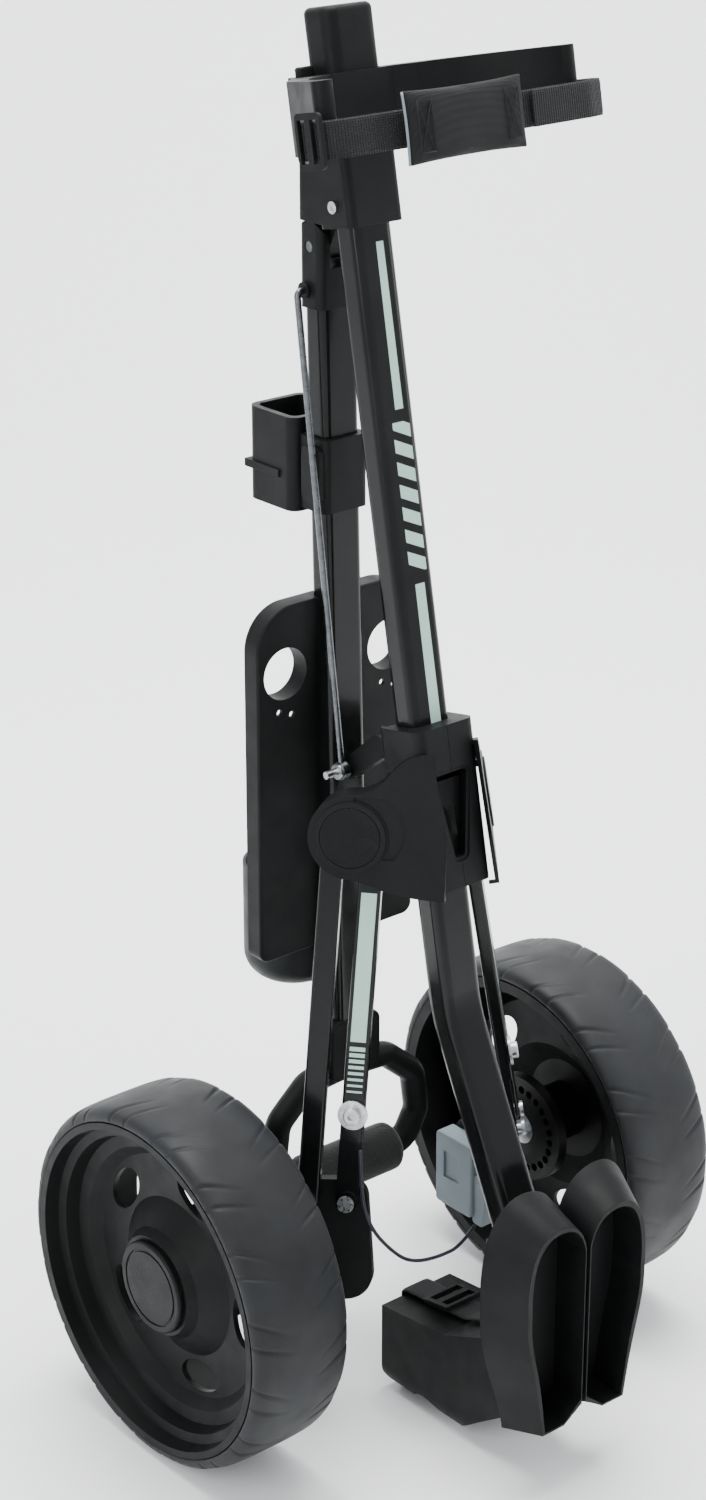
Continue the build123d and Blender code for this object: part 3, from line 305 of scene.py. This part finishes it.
def leg_stripe(side):
    """The front link's long block and the row of thinning bars above its bolt."""
    out, across, down = mirrored(LEG_OUT, side), mirrored(LEG_SWING, side), mirrored(LEG_DOWN, side)
    origin = mirrored(LEG_BOLT, side)

    def mask(paint):
        face = paint.fit(paint.dot(tuple(out), paint.normal()), 0.0, 1.0, 0.93, 0.96)
        u = paint.math("SUBTRACT", paint.dot(tuple(across)), origin.dot(across))
        v = paint.math("SUBTRACT", paint.dot(tuple(down)), origin.dot(down))
        centre = paint.fit(v, -0.0091, 0.0037, -0.215, 0.072)
        u = paint.math("SUBTRACT", u, centre)
        wide = band_mask(paint, u, -0.0062, 0.0056)
        block = band_mask(paint, v, -0.175, -0.058)
        run = paint.fit(v, 0.0, 1.0, -0.054, -0.014)
        step = paint.math("FRACT", paint.math("MULTIPLY", run, 8.0))
        thin = paint.math("SUBTRACT", 0.72, paint.math("MULTIPLY", run, 0.45))
        bars = paint.math("LESS_THAN", step, thin)
        bars = paint.math("MULTIPLY", bars, band_mask(paint, v, -0.054, -0.0145))
        print_area = paint.math("MULTIPLY", face, wide)
        return paint.math("MULTIPLY", print_area, paint.math("MAXIMUM", block, bars))

    return mask


def zinc(name, tint=(0.62, 0.64, 0.66)):
    """Zinc-plated steel: cloudy plating with turned marks."""
    paint = Paint(name, Metallic=1.0)
    soft = paint.soft_edges(0.0003)[0]
    cloud = paint.noise(160.0, 5.0)
    colour = paint.mix(paint.fit(cloud, 0.0, 1.0, 0.35, 0.65), tuple(0.72 * c for c in tint), tint)
    marks = paint.noise(60.0, 2.0, paint.scaled((1, 14, 14)))
    rough = paint.fit(paint.noise(300.0, 4.0), 0.22, 0.42, 0.3, 0.7)
    return paint.finish(colour, rough, paint.bump(marks, 0.00006, 0.5, soft))


def rubber(name, dark, light, rough=(0.5, 0.66), grain=0.00018):
    """Tyre rubber: dusty bloom in the hollows and a finely pitted skin."""
    paint = Paint(name, Specular_IOR_Level=0.3, Sheen_Weight=0.02, Sheen_Roughness=0.5)
    bloom = paint.noise(22.0, 5.0)
    colour = paint.mix(paint.fit(bloom, 0.0, 1.0, 0.35, 0.68), dark, light)
    pits = paint.noise(1300.0, 3.0)
    rough_value = paint.fit(paint.noise(34.0, 5.0), rough[0], rough[1], 0.3, 0.7)
    return paint.finish(colour, rough_value, paint.bump(pits, grain, 0.7))


def weave(name, dark, light, pitch=0.0011, rows=None, depth=0.00035, sheen=0.03):
    """Plain-woven cloth on three axes, so that it works on a surface that faces any way."""
    paint = Paint(name, Sheen_Weight=sheen, Sheen_Roughness=0.45, Specular_IOR_Level=0.2)
    warp = paint.noise(200.0, 2.0)
    place = paint.place
    turns = 2 * pi / pitch
    rows = rows or (1.0, 1.0, 1.0)
    waves = [paint.math("SINE", paint.math("MULTIPLY", paint.axis(name_, place), turns * k))
             for name_, k in zip("XYZ", rows)]
    height = paint.math("MULTIPLY", waves[0], waves[2])
    height = paint.math("ADD", height, paint.math("MULTIPLY", waves[1], 0.6))
    height = paint.math("ADD", height, paint.math("MULTIPLY", warp, 0.8))
    # The colour follows the weave's height: painted shade in the hollows between the yarns, with the crests
    # painted lighter; the blotches on top are random tone.
    shade = paint.fit(height, 0.0, 1.0, -1.4, 2.0)
    blotch = paint.noise(30.0, 4.0)
    shade = paint.math("MULTIPLY", shade, paint.fit(blotch, 0.6, 1.2, 0.3, 0.7))
    colour = paint.mix(shade, dark, light)
    return paint.finish(colour, paint.fit(blotch, 0.62, 0.8, 0.3, 0.7), paint.bump(height, depth, 0.7))


def webbing_paint(name, dark, light):
    """Narrow webbing from its own map: fine ribs across it, crossed by yarns along it."""
    paint = Paint(name, Sheen_Weight=0.04, Sheen_Roughness=0.4, Specular_IOR_Level=0.22)
    uv = paint.node("ShaderNodeUVMap").outputs["UV"]
    along, across = paint.axis("X", uv), paint.axis("Y", uv)
    rib = paint.math("SINE", paint.math("MULTIPLY", along, 2 * pi / 0.0021))
    yarn = paint.math("SINE", paint.math("MULTIPLY", across, 2 * pi / 0.0016))
    height = paint.math("ADD", rib, paint.math("MULTIPLY", yarn, 0.45))
    fuzz = paint.noise(900.0, 3.0)
    height = paint.math("ADD", height, paint.math("MULTIPLY", fuzz, 0.7))
    blotch = paint.fit(paint.noise(40.0, 3.0), 0.65, 1.2, 0.3, 0.7)
    # The colour follows the ribs' height: painted shade in the hollows between ribs and yarns, with the
    # crests painted lighter; the blotches are random tone.
    tone = paint.math("MULTIPLY", paint.fit(height, 0.0, 1.0, -1.2, 2.0), blotch)
    colour = paint.mix(tone, dark, light)
    return paint.finish(colour, paint.fit(fuzz, 0.6, 0.8, 0.3, 0.7), paint.bump(height, 0.0003, 0.8))


def foam_paint(name):
    """Closed-cell foam: two sizes of pore and a dusty skin."""
    paint = Paint(name, Specular_IOR_Level=0.3, Sheen_Weight=0.2, Sheen_Roughness=0.5)
    pores = paint.math("ADD", paint.cells(700.0), paint.math("MULTIPLY", paint.cells(1800.0), 0.5))
    dust = paint.fit(paint.noise(35.0, 4.0), 0.0, 1.0, 0.35, 0.65)
    colour = paint.mix(dust, (0.005, 0.0052, 0.0055), (0.012, 0.0125, 0.013))
    return paint.finish(colour, paint.fit(pores, 0.7, 0.88, 0.0, 1.0), paint.bump(pores, 0.0005, 0.8))


FINISHES = {
    "gloss_black_paint": coated_tube("tube_black"),
    "black_plastic": moulded("plastic_black", (0.0028, 0.003, 0.0032), (0.0055, 0.006, 0.0063)),
    "gloss_black_plastic": moulded(
        "plastic_badge", (0.0035, 0.0038, 0.004), (0.006, 0.0064, 0.0067), (0.22, 0.32), 0.00004),
    "webbing": webbing_paint("webbing_black", (0.002, 0.0021, 0.0023), (0.016, 0.0172, 0.0185)),
    "pad_fabric": weave("pad_cloth", (0.002, 0.0021, 0.0023), (0.011, 0.0118, 0.0125)),
    "zinc_steel": zinc("steel_zinc"),
    "black_steel": zinc("rod_steel", (0.16, 0.17, 0.18)),
    "grey_plastic": moulded(
        "plastic_pale", (0.17, 0.21, 0.23), (0.25, 0.30, 0.32), (0.4, 0.55), 0.0001,
        wear=0.3, worn=(0.55, 0.62, 0.65)),
    "dark_grey_plastic": moulded("plastic_grey", (0.012, 0.0135, 0.014), (0.02, 0.0225, 0.0235)),
    "tyre": rubber("tyre_rubber", (0.0035, 0.0042, 0.005), (0.0085, 0.01, 0.012)),
    "foam": foam_paint("grip_foam"),
    "cable": rubber("cable_sheath", (0.010, 0.010, 0.018), (0.016, 0.017, 0.03), (0.3, 0.42), 0.00003),
}


def dress(node, material):
    mesh = frame["nodes"][node].data
    mesh.materials.clear()
    mesh.materials.append(material)


for part in frame["record"]["subparts"]:
    dress(part["node"], FINISHES[part["material_slot"]])
dress("main_tube", coated_tube("tube_striped", main_stripe))
dress("front_link_left", coated_tube("link_striped_left", leg_stripe(-1)))
dress("front_link_right", coated_tube("link_striped_right", leg_stripe(1)))


# ---- mesh helpers
def new_object(name, vertices, faces, slot, smooth=True, uvs=None):
    mesh = bpy.data.meshes.new(name)
    mesh.from_pydata([tuple(v) for v in vertices], [], faces)
    if uvs:
        layer = mesh.uv_layers.new(name="UVMap")
        for loop in mesh.loops:
            layer.data[loop.index].uv = uvs[loop.vertex_index]
    mesh.update()
    mesh.polygons.foreach_set("use_smooth", [smooth] * len(mesh.polygons))
    mesh.materials.append(FINISHES[slot])
    made = bpy.data.objects.new(name, mesh)
    bpy.context.scene.collection.objects.link(made)
    return made


def grid_faces(rows, columns, wrap_rows=False, wrap_columns=False):
    """Quads over a grid of points stored row by row."""
    faces = []
    for i in range(rows if wrap_rows else rows - 1):
        for j in range(columns if wrap_columns else columns - 1):
            a, b = i * columns + j, i * columns + (j + 1) % columns
            c, d = ((i + 1) % rows) * columns + (j + 1) % columns, ((i + 1) % rows) * columns + j
            faces.append((a, b, c, d))
    return faces


def outward(made):
    """Turns every face of a closed mesh outward."""
    work = bmesh.new()
    work.from_mesh(made.data)
    bmesh.ops.recalc_face_normals(work, faces=work.faces)
    work.to_mesh(made.data)
    work.free()
    return made


# ---- tyres
TREAD_PAIRS = 16
GROOVE_DEPTH = 1.9
TYRE_STEPS = 960


def tyre_section():
    """The tyre's outline as (radius, distance across), from lip to lip round the tread."""
    half = [(129.8, 37.6), (134.2, 38.0), (134.4, 43.0), (136.0, 43.4), (138.6, 42.9)]
    half += [(141.0, 41.4), (142.9, 39.0)]
    half += [(144.2, 36.0), (145.0, 32.5), (145.4, 28.5), (145.7, 24.0), (145.85, 19.0), (145.95, 14.0)]
    half += [(146.0, 9.0), (146.0, 4.5)]
    dense = []
    for (r0, w0), (r1, w1) in zip(half, half[1:]):
        dense.append((r0, w0))
        dense.append(((r0 + r1) / 2, (w0 + w1) / 2))
    dense.append(half[-1])
    return [(r, -w) for r, w in dense] + [(146.0, 0.0)] + [(r, w) for r, w in reversed(dense)]


def groove(across, turn):
    """How deep the tread is cut at this place: pairs of slanted grooves that run in from each shoulder."""
    edge = abs(across) / 43.5
    reach = min(1.0, max(0.0, (edge - 0.22) / 0.55))
    if reach <= 0:
        return 0.0
    pitch = 2 * pi / TREAD_PAIRS
    shift = 0.0 if across < 0 else pitch / 2
    skew = radians(9.0) * (1 - edge)
    local = ((turn + shift + skew) / pitch) % 1.0 - 0.5
    spread = 0.10 + 0.07 * edge
    width = 0.030
    first = exp(-((local - spread) / width) ** 2)
    second = exp(-((local + spread) / width) ** 2)
    scoop = 0.28 * exp(-(local / (spread * 1.1)) ** 4)
    return GROOVE_DEPTH * reach * max(first, second, scoop)


def build_tyre(side, tag):
    section = tyre_section()
    points = []
    for i in range(TYRE_STEPS):
        turn = 2 * pi * i / TYRE_STEPS
        for radius, across in section:
            cut = groove(across, turn) if radius > 136.5 else 0.0
            r = radius - cut
            points.append(at(side * WHEEL_X + across, r * sin(turn), AXLE_Z + r * cos(turn)))
    made = new_object("tread_" + tag, points, grid_faces(TYRE_STEPS, len(section), True, True), "tyre")
    outward(made)
    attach(made, "wheel_" + tag)
    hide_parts("tyre_" + tag)


build_tyre(-1, "left")
build_tyre(1, "right")


# ---- foam grip
def build_foam_grip():
    half, steps, ring = 48.0, 60, 72
    outline = []
    for i in range(steps + 1):
        t = -1 + 2 * i / steps
        round_off = max(0.0, abs(t) - 0.86) / 0.14
        radius = 20.3 - 6.4 * (1 - sqrt(max(0.0, 1 - round_off ** 2))) - 0.5 * (1 - abs(t)) ** 2
        outline.append((t * half, radius))
    outline += [(half, 12.4), (half - 0.6, 11.2), (half - 4, 10.7)]
    outline += [(-half + 4, 10.7), (-half + 0.6, 11.2), (-half, 12.4)]
    points = []
    for j in range(ring):
        turn = 2 * pi * j / ring
        for x, r in outline:
            dent = 0.35 * noise.noise(Vector((x * 0.05, 3 * cos(turn), 3 * sin(turn)))) if r > 13 else 0.0
            points.append(at(x, 39.5 + (r + dent) * sin(turn), 153.0 + (r + dent) * cos(turn)))
    made = new_object("grip_sleeve", points, grid_faces(ring, len(outline), True, True), "foam")
    outward(made)
    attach(made, "handle")
    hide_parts("foam_grip")


build_foam_grip()


# ---- webbing
def smooth_line(points, step=1.5, passes=3):
    """Points evenly spaced along the runs, with the corners relaxed."""
    line = []
    for a, b in zip(points, points[1:]):
        count = max(1, round((b - a).length / (step * MM)))
        line += [a.lerp(b, i / count) for i in range(count)]
    line.append(points[-1])
    for _ in range(passes):
        inner = [(line[i - 1] + line[i] * 2 + line[i + 1]) / 4 for i in range(1, len(line) - 1)]
        line = [line[0], *inner, line[-1]]
    return line


def build_webbing(name, points, width_dir, width, thick, body, nodes=(), ripple=0.0, seed=0.0, passes=6):
    """A strip of webbing along a line. width_dir is the direction of its width."""
    line = smooth_line(points, passes=passes)
    side = Vector(width_dir).normalized()
    lengths = [0.0]
    for a, b in zip(line, line[1:]):
        lengths.append(lengths[-1] + (b - a).length)
    columns = 12
    profile = []
    for j in range(columns + 1):
        u = -1 + 2 * j / columns
        profile.append((u * width / 2, (thick / 2) * (1 - 0.55 * abs(u) ** 10)))
    profile += [(u, -h) for u, h in reversed(profile)]
    points_out, uvs = [], []
    for i, centre in enumerate(line):
        ahead = line[min(i + 1, len(line) - 1)] - line[max(i - 1, 0)]
        across = (side - ahead.normalized() * side.dot(ahead.normalized())).normalized()
        face = ahead.normalized().cross(across)
        sway = ripple * noise.noise(Vector((lengths[i] * 28, seed, 0)))
        for k, (u, h) in enumerate(profile):
            curl = ripple * 0.5 * noise.noise(Vector((lengths[i] * 40, u * 60 * 1.0, seed + 5)))
            points_out.append(centre + across * u * MM + face * (h + sway + curl) * MM)
            uvs.append((lengths[i], u * MM + (0 if k <= columns else 0.1)))
    count = len(profile)
    faces = grid_faces(len(line), count, False, True)
    last = (len(line) - 1) * count
    for j in range(columns):
        a, b = j, j + 1
        c, d = count - 1 - (j + 1), count - 1 - j
        faces.append((a, b, c, d))
        faces.append((last + d, last + c, last + b, last + a))
    made = new_object(name, points_out, faces, "webbing", uvs=uvs)
    outward(made)
    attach(made, body)
    if nodes:
        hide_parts(*nodes)
    return made


TOP_ALONG = (on_top(0, 0, 1) - on_top(0, 0, 0)).normalized()


def build_upper_strap():
    route = [(-122, -92), (-122, -120), (-108, -127), (-68, -129), (-20, -131), (40, -129.5)]
    route += [(108, -127), (122, -120), (122, -92)]
    points = [on_top(x, y, STRAP_DROP) for x, y in route]
    build_webbing("bag_strap", points, TOP_ALONG, STRAP_WIDTH, 2.2, "root", ("upper_strap",), 0.35, 1.7)


def build_strap_loop():
    """The strap's free end, folded back on itself round the right arm's tip."""
    route = [(52, -133.0), (108, -131.0), (126, -124), (131, -110), (126, -94)]
    points = [on_top(x, y, STRAP_DROP) for x, y in route]
    build_webbing("bag_strap_loop", points, TOP_ALONG, STRAP_WIDTH, 1.8, "root", (), 0.5, 4.4)


def build_lower_strap():
    route = [(-168, 110.4), (-120, 88.4), (-48 + 2.4, 80), (-48 + 2.4, 24)]
    points = [at(0, y, z) for y, z in route]
    build_webbing("heel_strap", points, (1, 0, 0), STRAP_WIDTH, 2.2, "root", ("lower_strap",), 0.25, 8.2)


build_upper_strap()
build_strap_loop()
build_lower_strap()


# ---- brake cable, in three stretches
CABLE_ROUTE = [(-83, -77, 246), (-86, -81, 206), (-73, -79, 174), (-52, -74, 147), (-28, -67, 123),
               (0, -56, 106), (30, -45, 94), (58, -36, 87), (88, -20, 87)]


def nurbs_line(points):
    """The points of a smooth NURBS line through the route."""
    data = bpy.data.curves.new("route", "CURVE")
    data.dimensions = "3D"
    data.resolution_u = 24
    spline = data.splines.new("NURBS")
    spline.points.add(len(points) - 1)
    for point, place in zip(spline.points, points):
        point.co = (*place, 1)
    spline.order_u = 3
    spline.use_endpoint_u = True
    holder = bpy.data.objects.new("route", data)
    bpy.context.scene.collection.objects.link(holder)
    bpy.context.view_layer.update()
    mesh = bpy.data.meshes.new_from_object(holder)
    line = [v.co.copy() for v in mesh.vertices]
    bpy.data.objects.remove(holder)
    return line


def tube_along(name, line, radius, slot, sides=14):
    points = []
    side = Vector((0, 1, 0))
    for i, centre in enumerate(line):
        ahead = (line[min(i + 1, len(line) - 1)] - line[max(i - 1, 0)]).normalized()
        side = (side - ahead * side.dot(ahead)).normalized()
        up = ahead.cross(side)
        for j in range(sides):
            turn = 2 * pi * j / sides
            points.append(centre + (side * cos(turn) + up * sin(turn)) * radius)
    faces = grid_faces(len(line), sides, False, True)
    faces.append(tuple(range(sides)))
    last = (len(line) - 1) * sides
    faces.append(tuple(last + j for j in reversed(range(sides))))
    return outward(new_object(name, points, faces, slot))


def build_cable():
    line = nurbs_line([at(*p) for p in CABLE_ROUTE])
    count = len(line)
    cuts = [0, count * 4 // 10, count * 7 // 10, count - 1]
    pairs = [("front_leg_left", "root"), ("root", "front_leg_right"), ("front_leg_right", "carrier_right")]
    for k, (first, second) in enumerate(pairs):
        stretch = line[cuts[k]:cuts[k + 1] + 1]
        piece = tube_along(f"brake_cable_{k + 1}", stretch, 0.0015, "cable")
        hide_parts("brake_cable")
        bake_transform(piece)


build_cable()


# ---- strap pad
def build_strap_pad():
    """Folded cloth pad on the strap, puffed by a short cloth run; its piping and stitches are made apart,
    in build_pad_trim.
    """
    half_w, half_h, half_t = 52.5, 24.5, 3.0
    columns, rows = 54, 26

    def place(u, v, t):
        x = PAD_CENTRE_X + u * half_w * (1 - 0.012 * (1 - v * v))
        z = STRAP_DROP + v * half_h * (1 - 0.03 * (1 - u * u))
        return on_top(x, PAD_CENTRE_Y + t, z)

    points, faces = [], []
    for layer in (-1, 1):
        for i in range(rows + 1):
            for j in range(columns + 1):
                u, v = -1 + 2 * j / columns, -1 + 2 * i / rows
                crown = (1 - abs(u) ** 8) * (1 - abs(v) ** 8)
                points.append(place(u, v, layer * (0.9 + half_t * crown)))
    count = (rows + 1) * (columns + 1)
    for base, quad in ((0, (0, 1, 2, 3)), (count, (3, 2, 1, 0))):
        for face in grid_faces(rows + 1, columns + 1):
            faces.append(tuple(base + face[k] for k in quad))
    rim = list(range(columns + 1))
    rim += [i * (columns + 1) + columns for i in range(1, rows + 1)]
    rim += [rows * (columns + 1) + j for j in reversed(range(columns))]
    rim += [i * (columns + 1) for i in reversed(range(1, rows))]
    for a, b in zip(rim, rim[1:] + rim[:1]):
        faces.append((a, count + a, count + b, b))
    made = new_object("strap_pad_cloth", points, faces, "pad_fabric")
    outward(made)
    puff(made, cap=1.6)
    made.modifiers.new("smooth", "SUBSURF").levels = 1
    made.modifiers["smooth"].render_levels = 1
    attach(made, "root")
    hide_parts("strap_pad")
    return made


def puff(made, cap):
    """Blows the cloth up a little, and lets no point move further than cap mm."""
    scene = bpy.context.scene
    start = [v.co.copy() for v in made.data.vertices]
    cloth = made.modifiers.new("cloth", "CLOTH")
    cloth.settings.use_pressure = True
    cloth.settings.uniform_pressure_force = 3.0
    cloth.settings.quality = 5
    cloth.settings.tension_stiffness = 18
    cloth.settings.bending_stiffness = 0.4
    cloth.settings.effector_weights.gravity = 0
    for number in range(1, 16):
        scene.frame_set(number)
    depsgraph = bpy.context.evaluated_depsgraph_get()
    moved = [v.co.copy() for v in made.evaluated_get(depsgraph).data.vertices]
    made.modifiers.clear()
    for vertex, before, after in zip(made.data.vertices, start, moved):
        step = after - before
        if step.length > cap * MM:
            step = step.normalized() * cap * MM
        vertex.co = before + step
    scene.frame_set(1)


build_strap_pad()


def build_pad_trim():
    """Pale piping down the pad's left edge, and a boxed cross of thread at each end."""
    front_y = -143.2
    edge = []
    for k in range(-8, 9):
        v = k / 8
        edge.append(on_top(PAD_CENTRE_X - 52.8, PAD_CENTRE_Y - 1.2 * (1 - v * v), STRAP_DROP + 24.0 * v))
    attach(tube_along("pad_piping", edge, 0.0009, "grey_plastic", 8), "root")
    for side in (-1, 1):
        near, far, tall = 33.0, 45.0, 17.0
        corners = [(near, -tall), (far, -tall), (far, tall), (near, tall)]
        corners += [(near, -tall), (far, tall), (near, tall), (far, -tall)]
        line = [on_top(PAD_CENTRE_X + side * x, front_y + 0.02 * (x - near), STRAP_DROP + z)
                for x, z in corners]
        thread = tube_along("pad_thread_" + ("left" if side < 0 else "right"), line, 0.00045, "webbing", 6)
        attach(thread, "root")


build_pad_trim()


# ---- floor
def build_floor():
    size, back, height, radius = 6.0, 3.2, 5.0, 1.2
    profile = [(-size, 0.0), (back - radius, 0.0)]
    for i in range(1, 13):
        turn = radians(90) * i / 12
        profile.append((back - radius + radius * sin(turn), radius * (1 - cos(turn))))
    profile.append((back, height))
    heading = Vector((0.643, 0.766, 0))
    sideways = Vector((0.766, -0.643, 0))
    points = []
    for run, rise in profile:
        for k in (-1, 1):
            points.append(heading * run + sideways * k * size + Vector((0, 0, rise - 0.0002)))
    mesh = bpy.data.meshes.new("floor")
    mesh.from_pydata([tuple(p) for p in points], [], grid_faces(len(profile), 2))
    mesh.update()
    mesh.polygons.foreach_set("use_smooth", [True] * len(mesh.polygons))
    paint = Paint("floor_pale", Specular_IOR_Level=0.2)
    tone = paint.mix(paint.noise(1.2, 2.0), (0.93, 0.94, 0.945), (0.95, 0.955, 0.96))
    mesh.materials.append(paint.finish(tone, 0.7))
    made = bpy.data.objects.new("floor", mesh)
    bpy.context.scene.collection.objects.link(made)


build_floor()
